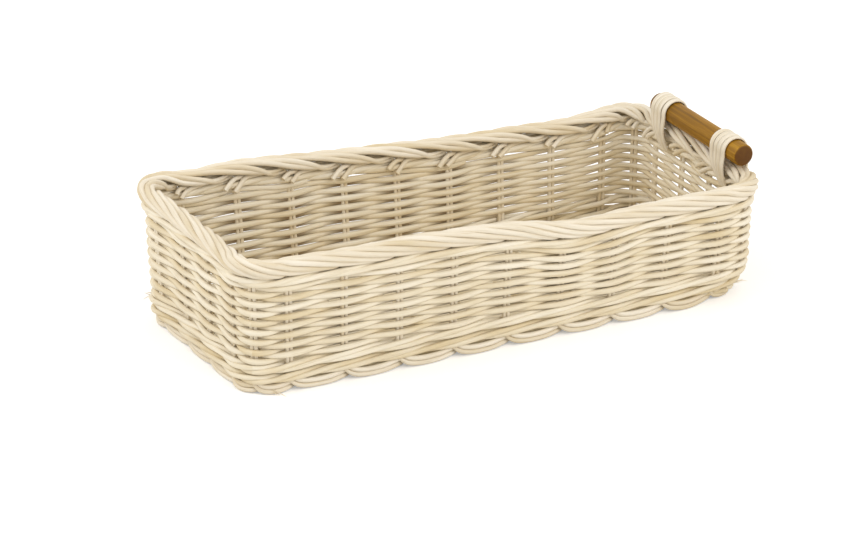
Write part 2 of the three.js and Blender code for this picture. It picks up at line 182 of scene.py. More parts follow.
# %% Plan and heights of the wall, in millimetres
FOOT_LENGTH, FOOT_WIDTH = 340.0, 138.5
RIM_LENGTH, RIM_WIDTH = 347.5, 148.5
CORNER_RADIUS = 18.0
SIDE_SPACES = (10, 5, 10, 5)
CORNER_SPACE_SHARE = 0.6
STAKES = sum(SIDE_SPACES)
FULL_ROWS = 14
PACKING_SPANS = ((19, 37), (22, 34))
WEAVE_ROWS = FULL_ROWS + len(PACKING_SPANS)
WEAVE_HEIGHT_PLAIN_END, WEAVE_HEIGHT_BAR_END, RIM_SAG = 52.48, 40.32, 3.0
FOOT_HEIGHT = 8.5
WALE_STEP = 2.9
WEAVE_BOTTOM = FOOT_HEIGHT + 4 * WALE_STEP
ROLL_CENTRE = 5.7
RIM_GAP = 0.3


def mix(a, b, share):
    """The value a share of the way from a to b."""
    return a + (b - a) * share


def ease(value, low, high):
    """0 below low, 1 above high, and a smooth rise between."""
    share = min(max((value - low) / (high - low), 0.0), 1.0)
    return share * share * (3 - 2 * share)


def spaced(left, spaces):
    """Distance along a side in its longer stake spaces. Those next to a corner stake are shorter."""
    return left - (1 - CORNER_SPACE_SHARE) * (min(left, 1) + max(0, left - spaces + 1))


def wall_plan(place, share):
    """Point of the stake line and the outward direction there, at a share of the wall's height."""
    length = mix(FOOT_LENGTH, RIM_LENGTH, share)
    width = mix(FOOT_WIDTH, RIM_WIDTH, share)
    left = place % STAKES
    side = 0
    while side < 3 and left >= SIDE_SPACES[side]:
        left -= SIDE_SPACES[side]
        side += 1
    along, across = (length, width) if side % 2 == 0 else (width, length)
    half_straight = along / 2 - CORNER_RADIUS
    half_arc = CORNER_RADIUS * math.pi / 4
    done = spaced(left, SIDE_SPACES[side]) / spaced(SIDE_SPACES[side], SIDE_SPACES[side])
    travel = (done - 0.5) * 2 * (half_straight + half_arc)
    bend = math.copysign(max(0.0, abs(travel) - half_straight) / CORNER_RADIUS, travel)
    run = math.copysign(min(abs(travel), half_straight), travel)
    x = run + CORNER_RADIUS * math.sin(bend)
    y = -across / 2 + CORNER_RADIUS * (1 - math.cos(bend))
    c, s = round(math.cos(side * math.pi / 2)), round(math.sin(side * math.pi / 2))
    facing = side * math.pi / 2 - math.pi / 2 + bend
    return Vector((c * x - s * y, s * x + c * y, 0)), Vector((math.cos(facing), math.sin(facing), 0))


def weave_height(place):
    """Height of the woven rows: the rim falls from the plain end to the bar end and sags between them."""
    share = wall_plan(place, 1)[0].x / RIM_LENGTH + 0.5
    return mix(WEAVE_HEIGHT_PLAIN_END, WEAVE_HEIGHT_BAR_END, share) - RIM_SAG * 4 * share * (1 - share)


def weave_top(place):
    """Height of the top of the woven rows."""
    return WEAVE_BOTTOM + weave_height(place)


def rim_base(place):
    """Height of the top of the rim's wale, where the roll starts."""
    return weave_top(place) + 2 * WALE_STEP + RIM_GAP


def through(knots, t):
    """Value at t of a smooth line through knots of (t, value), level beyond its ends."""
    t = min(max(t, knots[0][0]), knots[-1][0])
    i = min(max(bisect.bisect_right(knots, (t, math.inf)) - 1, 0), len(knots) - 2)
    (t0, v0), (t1, v1) = knots[i], knots[i + 1]
    before, after = knots[max(i - 1, 0)], knots[min(i + 2, len(knots) - 1)]
    slope0 = (v1 - before[1]) / (t1 - before[0])
    slope1 = (after[1] - v0) / (after[0] - t0)
    span = t1 - t0
    u = (t - t0) / span
    return ((2 * u ** 3 - 3 * u ** 2 + 1) * v0 + (u ** 3 - 2 * u ** 2 + u) * span * slope0
            + (3 * u ** 2 - 2 * u ** 3) * v1 + (u ** 3 - u ** 2) * span * slope1)


# %% [markdown]
# Handwork is never quite even. The front rim rides up a little left of the middle and dips right of it, the
# back rim is high near the plain end and lower toward the bar. The front corner under the bar is drawn in at
# the foot, and the back corner of the plain end is pushed out. A smooth line through a few heights gives each
# long side its own rise and fall, and the wall follows it in part.

# %% Unevenness of the handwork
FRONT_LIFT = [(-160, -1.5), (-105, 0.3), (-65, 2.0), (-25, 1.9), (5, 0.2), (42, -4.6), (72, -3.2),
              (100, -1.8), (135, -1.6), (160, -0.8)]
BACK_LIFT = [(-160, 0.5), (-140, 0.0), (-112, 2.9), (-85, 2.2), (-30, 0.4), (5, -0.7), (45, -2.4), (85, -2.3),
             (125, -2.9), (160, 0.8)]
DRAWN_IN = [(0, 6.5), (6, 5.0), (12, 1.6), (20, -1.4), (35, -1.2), (60, 0)]
PUSHED_OUT = [(0, -0.6), (12, -2.2), (40, -2.6), (90, -1.8)]
CORNERS = ((Vector((165.0, -65.0, 0)), DRAWN_IN), (Vector((-165.0, 65.0, 0)), PUSHED_OUT))
CORNER_PULL_FULL, CORNER_PULL_ENDS = 8, 42
BOW, SWAY = 0.7, 0.55


def wall_point(place, out, height):
    """A point at a depth out from the stake line, moved by the wall's unevenness there."""
    share = height / rim_base(place)
    point, outward = wall_plan(place, share)
    lift = mix(through(FRONT_LIFT, point.x), through(BACK_LIFT, point.x), point.y / RIM_WIDTH + 0.5)
    bow = BOW * noise.noise(Vector((point.x / 55, point.y / 55, height / 70)))
    ripple = noise.noise(Vector((point.x / 28, point.y / 28, 7.3 + height / 22)))
    sway = SWAY * ripple * ease(share, 0.1, 0.35)
    draw_in = sum(
        through(shift, height) * (1 - ease((point - corner).length, CORNER_PULL_FULL, CORNER_PULL_ENDS))
        for corner, shift in CORNERS
    )
    return point + outward * (out + bow - draw_in) + UP * (height + sway + lift * ease(share, 0.1, 1.0))


print("rim height, left and right, mm:", round(rim_base(27), 1), round(rim_base(12), 1))

# %% [markdown]
# ## Rattan core
# Core is the inside of the rattan vine, drawn through a die: a round, porous, cream rod with fine brown
# fibres along it and no bark. Batches differ, so some rods are straw coloured and some nearly white. A rod
# could be coloured by where it is in the room, but then the streaks would cut across the bends, so the
# finish follows each rod's own map: millimetres along it, and once round it.

# %% Rattan core finish
def rattan_core(name, pale, mid, straw, fibre, crevice_shade_share):
    """Cream core with streaks along each rod. Real fibres are near 0.3 mm apart, drawn at about 0.6 mm."""
    finish, tree, shader = new_finish(name)
    along = add_node(tree, "ShaderNodeUVMap", uv_map="UVMap")
    tone = add_node(tree, "ShaderNodeAttribute", attribute_name="tone")
    apart = add_node(tree, "ShaderNodeVectorMath", {0: (13.0, 29.0, 61.0), 3: tone.outputs["Fac"]},
                     operation="SCALE")
    fine = add_node(tree, "ShaderNodeVectorMath", {0: along.outputs[0], 1: (0.05, 14.0, 1.0),
                                                   2: apart.outputs[0]}, operation="MULTIPLY_ADD")
    slow = add_node(tree, "ShaderNodeVectorMath", {0: along.outputs[0], 1: (0.022, 0.8, 1.0),
                                                   2: apart.outputs[0]}, operation="MULTIPLY_ADD")
    streak = add_node(tree, "ShaderNodeTexNoise", {"Vector": fine.outputs[0], "Scale": 1.0, "Detail": 3.0,
                                                   "Roughness": 0.6})
    patch = add_node(tree, "ShaderNodeTexNoise", {"Vector": slow.outputs[0], "Scale": 1.0, "Detail": 2.0})
    batch = add_node(tree, "ShaderNodeMath", {0: tone.outputs["Fac"], 1: 0.38, 2: patch.outputs["Fac"]},
                     operation="MULTIPLY_ADD")
    ground = add_node(tree, "ShaderNodeValToRGB", {"Fac": batch.outputs[0]})
    ground.color_ramp.elements[0].position = 0.42
    ground.color_ramp.elements[0].color = colour(pale)
    ground.color_ramp.elements[1].position = 1.05
    ground.color_ramp.elements[1].color = colour(straw)
    ground.color_ramp.elements.new(0.72).color = colour(mid)
    line = add_node(tree, "ShaderNodeMapRange", {"Value": streak.outputs["Fac"], "From Min": 0.55,
                                                 "From Max": 0.8, "To Min": 0.0, "To Max": 0.5})
    tinted = blend(tree, line.outputs[0], ground.outputs["Color"], fibre)
    # Painted shade: an ambient occlusion node darkens the colour toward #7D6236 in the crevices between rods,
    # where shade falls; the last argument of the function sets how far.
    crevice = add_node(tree, "ShaderNodeAmbientOcclusion", {"Color": tinted, "Distance": 2.5 * MM}, samples=6)
    crevice_shade = add_node(tree, "ShaderNodeMapRange", {"Value": crevice.outputs["AO"], "From Min": 0.1,
                                                 "From Max": 0.45, "To Min": crevice_shade_share, "To Max": 0.0})
    crevice_shaded = blend(tree, crevice_shade.outputs[0], tinted, "#7D6236")
    # Painted shade: the sides of rods that lie deep behind other rods are darkened toward #6F5428, by the
    # attribute that draw_rod stores.
    recess_shade = add_node(tree, "ShaderNodeAttribute", attribute_name="recess_shade")
    depth = add_node(tree, "ShaderNodeMapRange", {"Value": recess_shade.outputs["Fac"], "From Min": 0.1,
                                                  "From Max": 0.9, "To Min": 0.0, "To Max": 0.8})
    recess_shaded = blend(tree, depth.outputs[0], crevice_shaded, "#6F5428")
    tree.links.new(recess_shaded, shader.inputs["Base Color"])
    rough = add_node(tree, "ShaderNodeMapRange", {"Value": streak.outputs["Fac"], "To Min": 0.5,
                                                  "To Max": 0.75})
    tree.links.new(rough.outputs[0], shader.inputs["Roughness"])
    shader.inputs["IOR"].default_value = 1.5
    shader.inputs["Specular IOR Level"].default_value = 0.35
    ridge = add_node(tree, "ShaderNodeBump", {"Height": streak.outputs["Fac"], "Strength": 0.25,
                                              "Distance": 0.15 * MM})
    tree.links.new(ridge.outputs[0], shader.inputs["Normal"])
    return finish


WEAVER_CORE = rattan_core("rattan core, woven", "#F3EAD6", "#EADEC4", "#DDCBA5", "#C2A975", 0.45)
STAKE_CORE = rattan_core("rattan core, stakes", "#F1E8D6", "#E8DCC5", "#DBCAA8", "#C2A975", 0.14)
print("finishes:", WEAVER_CORE.name, "and", STAKE_CORE.name)

# %% [markdown]
# ## Drawing one rod
# A rod could be swept by hand from a circle, but a path curve with a round bevel is the same thing and
# keeps its thickness through every bend. Each path is drawn point by point, bevelled, made into a mesh, and
# its map is stretched to real millimetres. The rods of one piece are then joined under one name.

# %% Rod and piece helpers
ROD_ROUNDNESS = 3


def draw_rod(points, radius, closed=False, roundness=ROD_ROUNDNESS, hidden=None):
    """One rod along points in mm. radius is one number or one for each point, and hidden is the direction in
    which each point is covered by other rods, as long as it is deep."""
    radii = radius if isinstance(radius, list) else [radius] * len(points)
    bpy.ops.object.select_all(action="DESELECT")
    bpy.ops.curve.primitive_nurbs_path_add()
    path = bpy.context.object.data
    path.splines.clear()
    spline = path.splines.new("POLY")
    spline.points.add(len(points) - 1)
    spline.points.foreach_set("co", [c for p in points for c in (p.x * MM, p.y * MM, p.z * MM, 1.0)])
    spline.points.foreach_set("radius", radii)
    spline.use_cyclic_u = closed
    path.bevel_depth = MM
    path.bevel_resolution = roundness
    path.use_fill_caps = not closed
    bpy.ops.object.convert(target="MESH")
    rod = bpy.context.object
    length = sum((b - a).length for a, b in zip(points, points[1:]))
    layer = rod.data.uv_layers[0].uv
    spots = np.empty(len(layer) * 2, dtype=np.float32)
    layer.foreach_get("vector", spots)
    spots[0::2] *= length
    layer.foreach_set("vector", spots)
    tone = rod.data.attributes.new("tone", "FLOAT", "POINT")
    tone.data.foreach_set("value", [draw.random()] * len(rod.data.vertices))
    # Painted shade: each vertex stores how far its side faces where other rods cover it, and the rattan
    # finish darkens it by that amount.
    if hidden:
        rings = np.empty(len(rod.data.vertices) * 3, dtype=np.float32)
        rod.data.vertices.foreach_get("co", rings)
        rings = rings.reshape(len(points), -1, 3)
        away = rings - rings.mean(axis=1, keepdims=True)
        away /= np.linalg.norm(away, axis=2, keepdims=True)
        covered = np.einsum("ijk,ik->ij", away, np.array(hidden, dtype=np.float32)).clip(0, 1)
        recess_shade = rod.data.attributes.new("recess_shade", "FLOAT", "POINT")
        recess_shade.data.foreach_set("value", covered.ravel())
    return rod


def piece(name, parts, finish, slot, *nodes, body="basket"):
    """Joins parts into one named piece that rides on a body and stands for CAD nodes."""
    bpy.ops.object.select_all(action="DESELECT")
    for part in parts:
        part.select_set(True)
    bpy.context.view_layer.objects.active = parts[0]
    bpy.ops.object.join()
    made = bpy.context.object
    made.name = made.data.name = name
    bpy.ops.object.transform_apply()
    bpy.ops.object.mode_set(mode="EDIT")
    bpy.ops.mesh.select_all(action="SELECT")
    bpy.ops.mesh.remove_doubles(threshold=0.005 * MM)
    bpy.ops.mesh.normals_make_consistent(inside=False)
    bpy.ops.object.mode_set(mode="OBJECT")
    bpy.ops.object.shade_smooth_by_angle(angle=math.radians(50))
    made.data.materials.clear()
    made.data.materials.append(finish)
    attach(made, body)
    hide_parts(*nodes)
    return made


# %% [markdown]
# ## Rows of plain weave
# Each row is one rod that goes round the whole basket, outside one pair of stakes and inside the next, and
# the next row does the opposite. Between two stakes it crosses from one face of the wall to the other in a
# long easy wave. The rods swell and thin a little, and no two rows lie quite level. The two top rows are
# packing: they go round the plain end alone and end part of the way along, which makes that end higher.

# %% Weave the rows
STEPS_PER_SPACE = 10
WEAVE_DEPTH, WEAVE_DEPTH_BACK = 2.2, 1.35
ROW_ROD, ROW_ROD_BACK = 1.56, 1.7
ROW_ROD_AT_STAKE, ROW_ROD_LOOSE = 1.98, 1.46
PACKING_TAIL = 0.3
PACKING_CLOSE = (-0.3, 0.6)
# Painted shade on the deep side of each row: full on the inward side of rods lying outside, weaker on the
# outward side of rods lying inside, and weaker at the back of the bar end.
OUTSIDE_RECESS_SHADE, LOOSE_RECESS_SHADE = 0.55, 0.35
ROW_WANDER, ROW_WANDER_BACK = 0.18, 0.12
ROW_FILL, ROW_FILL_BACK = 0.53, 0.58


def rows_at(place):
    """Rows at a place. Beyond the end of a packing row its gap closes within a stake space."""
    rows = FULL_ROWS
    for first, last in PACKING_SPANS:
        round_to = (place - (first + last - STAKES) / 2) % STAKES
        beyond = abs(round_to - STAKES / 2) - (last - first) / 2
        rows += 1 - ease(beyond, *PACKING_CLOSE)
    return rows


def weave_row(row):
    """One row: a ring, or a packing row that ends behind the first and last of its stakes."""
    packing = row >= FULL_ROWS
    first, last = PACKING_SPANS[row - FULL_ROWS] if packing else (0, STAKES)
    start, end = (first - PACKING_TAIL, last + PACKING_TAIL) if packing else (first, last)
    steps = round((end - start) * STEPS_PER_SPACE)
    points, radii, hidden = [], [], []
    for i in range(steps + packing):
        place = mix(start, end, i / steps)
        pitch = weave_height(place) / rows_at(place)
        flat, outward = wall_plan(place, 0.5)
        spot = Vector((flat.x / 45, flat.y / 45, row * 1.7))
        back = ease(flat.y, -40, 60)
        loose = ease(flat.x, 30, 120) * ease(flat.y, -50, 40)
        depth = mix(WEAVE_DEPTH, WEAVE_DEPTH_BACK, back) * (1 + 0.16 * noise.noise(spot))
        out = depth * math.cos(math.pi * (place + row))
        wander = mix(ROW_WANDER, ROW_WANDER_BACK, back) * noise.noise(spot * 1.6)
        height = WEAVE_BOTTOM + (row + 0.5 + wander) * pitch
        points.append(wall_point(place, out, height))
        # Painted shade: the covered side of the rod, facing away from the face it lies on, is marked for
        # darkening by the finish.
        shade = (OUTSIDE_RECESS_SHADE if out < 0 else 1) * mix(1, LOOSE_RECESS_SHADE, loose)
        hidden.append(outward * (-out / depth) * shade)
        at_stake = math.cos(math.pi * place) ** 2
        between = min(mix(ROW_ROD, ROW_ROD_BACK, back), mix(ROW_FILL, ROW_FILL_BACK, back) * pitch)
        radius = mix(between, mix(ROW_ROD_AT_STAKE, ROW_ROD_LOOSE, loose), at_stake)
        radii.append(radius * (1 + 0.06 * noise.noise(spot * 2.3)))
    return draw_rod(points, radii, closed=not packing, hidden=None if packing else hidden)


for row in range(WEAVE_ROWS):
    name = f"weave_row_{row + 1:02d}"
    piece(name + "_core", [weave_row(row)], WEAVER_CORE, "weave_core", name)
print("rows woven:", WEAVE_ROWS)

# %% [markdown]
# ## Bands of wale
# Three rods worked together make a wale: each goes outside two stakes, rising as it goes, and then inside
# the third. It is firmer than plain weave, so two rounds start the wall above the foot and one locks the top
# under the rim. The shape is given once over three stakes and repeats, one stake later for each rod.

# %% Wale the foot and the rim
WALE_RODS = 3
WALE_DEPTH = 2.5
WALE_ROD = 1.64
FOOT_WALE_DROP, FOOT_WALE_ROOM = 1.6, 0.8
RIM_WALE_RAISE, RIM_WALE_CLIMB, RIM_WALE_SWELL = 0.4, 0.75, 1.14
WALE_OUT = [(-0.5, 0), (0, 1), (0.5, 1.1), (1, 1), (1.5, 0), (2, -1), (2.5, 0), (3, 1), (3.5, 1.1)]
WALE_LEVEL = [(-0.5, -1), (0, -0.95), (0.5, 0), (1, 0.95), (1.5, 1), (2, 0), (2.5, -1), (3, -0.95), (3.5, 0)]


def wale_rod(rod, bottom, climb=1.0, swell=1.0):
    """One of the three rods of a wale: a ring that starts at the height bottom gives for a place."""
    points, radii = [], []
    for i in range(STAKES * STEPS_PER_SPACE):
        place = i / STEPS_PER_SPACE
        phase = (place - rod) % WALE_RODS
        flat = wall_plan(place, 0.5)[0]
        spot = Vector((flat.x / 40, flat.y / 40, rod * 2.1 + bottom(0)))
        out = WALE_DEPTH * through(WALE_OUT, phase) * (1 + 0.1 * noise.noise(spot))
        level = through(WALE_LEVEL, phase) + 0.15 * noise.noise(spot * 1.4)
        points.append(wall_point(place, out, bottom(place) + WALE_STEP + climb * level * WALE_STEP / 2))
        radii.append(WALE_ROD * swell * (1 + 0.07 * noise.noise(spot * 1.9)))
    return draw_rod(points, radii, closed=True)


for turn_up in (0, 1):
    for rod in range(WALE_RODS):
        name = f"foot_wale_{turn_up + 1}_{rod + 1:02d}"
        bottom = FOOT_HEIGHT - FOOT_WALE_DROP + (2 * WALE_STEP + FOOT_WALE_ROOM) * turn_up
        piece(name + "_core", [wale_rod(rod, lambda place: bottom)], WEAVER_CORE, "weave_core", name)
for rod in range(WALE_RODS):
    name = f"rim_wale_{rod + 1:02d}"
    raised = wale_rod(rod, lambda place: weave_top(place) + RIM_WALE_RAISE, RIM_WALE_CLIMB, RIM_WALE_SWELL)
    piece(name + "_core", [raised], WEAVER_CORE, "weave_core", name)
print("wale rods:", 3 * WALE_RODS)

# %% [markdown]
# ## Stakes, foot loops and rolled rim
# A stake is two rods side by side. Below the wall it swings out into one scallop of the foot and tucks its
# tail under the floor. Above, it leans over inside, winds over the top of the rim, comes down the outside
# past the next stakes, passes in under the roll and is cut off short inside. The middle line of the pair is
# worked out first, with the way the pair faces, and each rod then lies half a rod to one side of it.

# %% Middle line of a stake
PAIR_HALF, STAKE_ROD = 1.25, 1.22
LOOP_PAIR_HALF, LOOP_ROD = 1.56, 1.56
ROLL_ROD = 1.7
STAKE_BEND = 3.6
BEND_LEVEL = 3.1
LOOP_ALONG = [1.36, 1.3, 1.24, 1.18, 1.12, 1.06, 1.0, 0.93, 0.86, 0.79, 0.72, 0.65, 0.58, 0.51, 0.44, 0.38,
              0.32, 0.26, 0.21, 0.16, 0.12, 0.085, 0.055, 0.03, 0.012]
LOOP_LEVEL = [(0, 8.8), (0.04, 7.0), (0.1, 5.3), (0.2, 4.0), (0.3, 3.45), (0.45, 3.14), (0.7, 3.25),
              (0.9, 3.6), (1.0, 3.6), (1.1, 3.0), (1.25, 1.7), (1.36, 1.5)]
LOOP_REACH = [(0, 0), (0.05, 1.2), (0.12, 2.5), (0.3, 3.3), (0.5, 3.4), (0.72, 2.7), (0.88, 1.1), (1.0, -0.7),
              (1.15, -3.4), (1.36, -9.0)]
WIND_ANGLE = [(0.1, -90), (0.33, -124), (0.9, -192), (1.6, -262), (2.5, -336), (3.4, -412), (3.75, -447),
              (3.92, -480), (4.02, -486), (4.2, -480)]
WIND_RADIUS = [(0.1, 3.0), (0.33, 4.2), (0.9, 4.7), (1.2, 4.5), (1.65, 3.6), (2.1, 5.0), (2.6, 4.8),
               (3.4, 4.4), (3.75, 4.5), (3.92, 5.1), (4.02, 7.2), (4.2, 12.5)]
WIND_FACE = [(0.1, -180), (0.33, -140), (0.9, -192), (1.6, -262), (2.5, -336), (3.4, -412), (3.75, -455),
             (3.92, -505), (4.02, -528), (4.2, -538)]
ROLL_SHIFT = [(0, 0), (0.2, 0.02), (0.9, 0.2), (3.3, 0.23), (3.8, 0.1), (4.2, 0.08)]
ROLL_UNDER_SWELL, TAIL_THINNER = 0.2, 0.35
TAIL_END, TAIL_DROP = (4.08, 4.2), (-1.5, 1.5)
SNUG_LOOP = 0.35


def space_share(place, share, distance):
    """A distance along the wall as a share of the stake space there."""
    return distance / (wall_plan(place, share)[0] - wall_plan(place + 1, share)[0]).length


def facing(place, share, angle):
    """Direction across the wall at an angle: 0 is outwards and a quarter turn is up."""
    return wall_plan(place, share)[1] * math.cos(angle) + UP * math.sin(angle)


def foot_line(stake):
    """Tail, loop and bend of a stake, up to the foot of the wall."""
    line = []
    for along in LOOP_ALONG:
        place = stake + along
        flat = ease(along, 1.0, 1.3)
        full = ease(along, 0, 0.2)
        reach = through(LOOP_REACH, along)
        snug = mix(1, SNUG_LOOP, ease(abs(wall_plan(place, 0)[0].x), 105, 165)) if reach > 0 else 1
        point = wall_point(place, reach * snug, through(LOOP_LEVEL, along))
        line.append((point, facing(place, 0, -flat * math.pi / 2), mix(PAIR_HALF, LOOP_PAIR_HALF, full),
                     mix(STAKE_ROD, LOOP_ROD, full)))
    return line


def rim_line(stake, side, tail_end, tail_drop):
    """Rise, bend, roll and cut tail of a stake's top. In the roll its two rods lie half a space apart."""
    line = []
    bend = space_share(stake, 1, STAKE_BEND)
    top = rim_base(stake) + BEND_LEVEL - STAKE_BEND
    for i in range(1, 12):
        height = mix(LOOP_LEVEL[0][1], top, i / 12)
        line.append((wall_point(stake, 0, height), facing(stake, 0.5, 0), PAIR_HALF, STAKE_ROD))
    for turned in (0, 30, 60):
        place = stake + bend * (1 - math.cos(math.radians(turned)))
        height = top + STAKE_BEND * math.sin(math.radians(turned))
        line.append((wall_point(place, 0, height), facing(place, 1, 0), PAIR_HALF, STAKE_ROD))
    steps = int(tail_end * STEPS_PER_SPACE * 1.4)
    for i in range(steps + 1):
        along = mix(bend, tail_end, i / steps)
        place = stake + along + side * through(ROLL_SHIFT, along)
        angle = math.radians(through(WIND_ANGLE, along))
        radius = through(WIND_RADIUS, along)
        out = radius * math.cos(angle)
        rise = ROLL_CENTRE + radius * math.sin(angle) - tail_drop * ease(along, 3.92, 4.2)
        face = facing(place, 1, math.radians(through(WIND_FACE, along)))
        snug = ease(along, bend, 0.7)
        apart = PAIR_HALF * (1 - ease(along, 0.3, 0.9)) + 0.5 * ROLL_ROD * ease(along, 3.75, 4.0)
        under = ROLL_UNDER_SWELL * ease(along, 2.9, 3.4) * (1 - ease(along, 3.7, 3.95))
        radius = mix(STAKE_ROD, ROLL_ROD, snug - TAIL_THINNER * ease(along, 3.55, 3.95)) + under
        line.append((wall_point(place, out, rim_base(place) + rise), face, apart, radius))
    return line


def stake_rod(stake, side):
    """One rod of a stake's pair, on the side given as -1 or 1."""
    line = foot_line(stake) + rim_line(stake, side, draw.uniform(*TAIL_END), draw.uniform(*TAIL_DROP))
    middle = [spot[0] for spot in line]
    points, radii = [], []
    for i, (point, face, half, radius) in enumerate(line):
        run = middle[min(i + 1, len(line) - 1)] - middle[max(i - 1, 0)]
        across = run.cross(face).normalized()
        stray = 1 + 0.06 * noise.noise(Vector((i / 9, stake * 1.9, side * 3.7)))
        points.append(point + across * side * half * stray)
        radii.append(radius * stray)
    return draw_rod(points, radii)


# %% [markdown]
# Cut core frays: here and there a few hair-thin fibres have split off a rod's end and stand away from the
# corner of the basket. They are drawn like rods, thinning to a point, and belong to the stake they come from.

# %% Set the stakes
FRAY = {0: (0.45, 4.0, 1.6, (0.5, -0.6, -0.25)), 25: (0.05, 5.5, 13.5, (-0.9, 0.1, 0.25)),
        10: (0.1, 5.0, 5.0, (0.8, -0.5, 0.15))}
FIBRES = 4
FIBRE_TAPER = [0.34, 0.3, 0.27, 0.23, 0.18, 0.1]


def fray(stake):
    """A few loose fibres at a stake: place along, distance out, height and the way they point."""
    along, out, height, way = FRAY[stake]
    fibres = []
    for fibre in range(FIBRES):
        root = wall_point(stake + along, out - 2.0, height + fibre * 0.7)
        lean = Vector(way) + Vector([draw.uniform(-0.35, 0.35) for _ in range(3)])
        length = draw.uniform(4.0, 8.0)
        curl = UP * draw.uniform(-1.2, 1.6)
        points = [root + lean * length * t + curl * t * t for t in (0, 0.2, 0.4, 0.6, 0.8, 1.0)]
        points = [Vector((p.x, p.y, max(p.z, 0.3))) for p in points]
        fibres.append(draw_rod(points, FIBRE_TAPER, roundness=1))
    return fibres


for stake in range(STAKES):
    name = f"stake_{stake + 1:02d}"
    rods = [stake_rod(stake, -1), stake_rod(stake, 1)] + (fray(stake) if stake in FRAY else [])
    piece(name + "_core", rods, STAKE_CORE, "stake_core", name)
print("stakes set:", STAKES)

# %% [markdown]
# ## Floor mat
# The floor is out of sight behind the near wall, so it is made as such baskets usually have it: rods lie side
# by side along the length, cut to the rounded outline, and thin pairs of weavers are twined across them to
# hold them together. Of each twined pair one weaver is over a rod where the other is under it.

# %% Lay the floor
FLOOR_BOX = [[c / MM for c in corner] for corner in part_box("base_mat")]
FLOOR_UNDER_WALE = 5.2
FLOOR_HALF_LENGTH, FLOOR_HALF_WIDTH = (FLOOR_BOX[1][axis] + FLOOR_UNDER_WALE for axis in (0, 1))
FLOOR_MIDDLE = (FLOOR_BOX[0][2] + FLOOR_BOX[1][2]) / 2
FLOOR_CORNER = 13.0 + FLOOR_UNDER_WALE
FLOOR_ROD_STEPS = 30
FLOOR_RODS = 45
FLOOR_ROD = 1.47
FLOOR_ROD_APART = 2 * FLOOR_HALF_WIDTH / FLOOR_RODS
TWINED_ROWS = 9
TWINED_ROWS_APART = 35.0
TWINE_ROD = 0.8
TWINE_SHORT_BY = 10.5


def floor_reach(y):
    """Half of the floor's length at a distance from its middle line."""
    into = max(0.0, abs(y) - (FLOOR_HALF_WIDTH - FLOOR_CORNER))
    return FLOOR_HALF_LENGTH - FLOOR_CORNER + math.sqrt(max(0.0, FLOOR_CORNER ** 2 - into ** 2))


floor_rods = []
for rod in range(FLOOR_RODS):
    y = (rod + 0.5) * FLOOR_ROD_APART - FLOOR_HALF_WIDTH
    points = []
    for i in range(FLOOR_ROD_STEPS + 1):
        x = mix(-1, 1, i / FLOOR_ROD_STEPS) * (floor_reach(y) - draw.uniform(0, 0.15))
        points.append(Vector((x, y, FLOOR_MIDDLE + 0.12 * noise.noise(Vector((x / 30, y, 0))))))
    floor_rods.append(draw_rod(points, FLOOR_ROD, roundness=2))
for row in range(TWINED_ROWS):
    for side in (-1, 1):
        x = (row - (TWINED_ROWS - 1) / 2) * TWINED_ROWS_APART
        reach = FLOOR_HALF_WIDTH - TWINE_SHORT_BY
        steps = 4 * FLOOR_RODS
        points = []
        for i in range(steps + 1):
            y = mix(-reach, reach, i / steps)
            turn = math.pi * (y + FLOOR_HALF_WIDTH) / FLOOR_ROD_APART / 2 + math.pi / 4
            over = side * math.sin(turn) * (FLOOR_ROD + TWINE_ROD)
            points.append(Vector((x + side * TWINE_ROD * math.cos(turn), y, FLOOR_MIDDLE + over)))
        floor_rods.append(draw_rod(points, TWINE_ROD, roundness=1))
FLOOR_CORE = rattan_core("rattan core, floor", "#EFE5CF", "#E5D8BB", "#D6C39A", "#BDA576", 0.45)
piece("base_mat_core", floor_rods, FLOOR_CORE, "base_core", "base_mat")
print("floor rods:", FLOOR_RODS, "and twined rows:", TWINED_ROWS)

# %% [markdown]
# ## Grip bar
# The bar is a turned wooden dowel with its sharp edges rubbed off and a thin golden brown stain that leaves
# the grain showing: long pale and dark streaks on the round side, and darker end grain where it drinks more
# stain. A lathe profile could be turned, but a cylinder with its two end edges bevelled is the same shape.

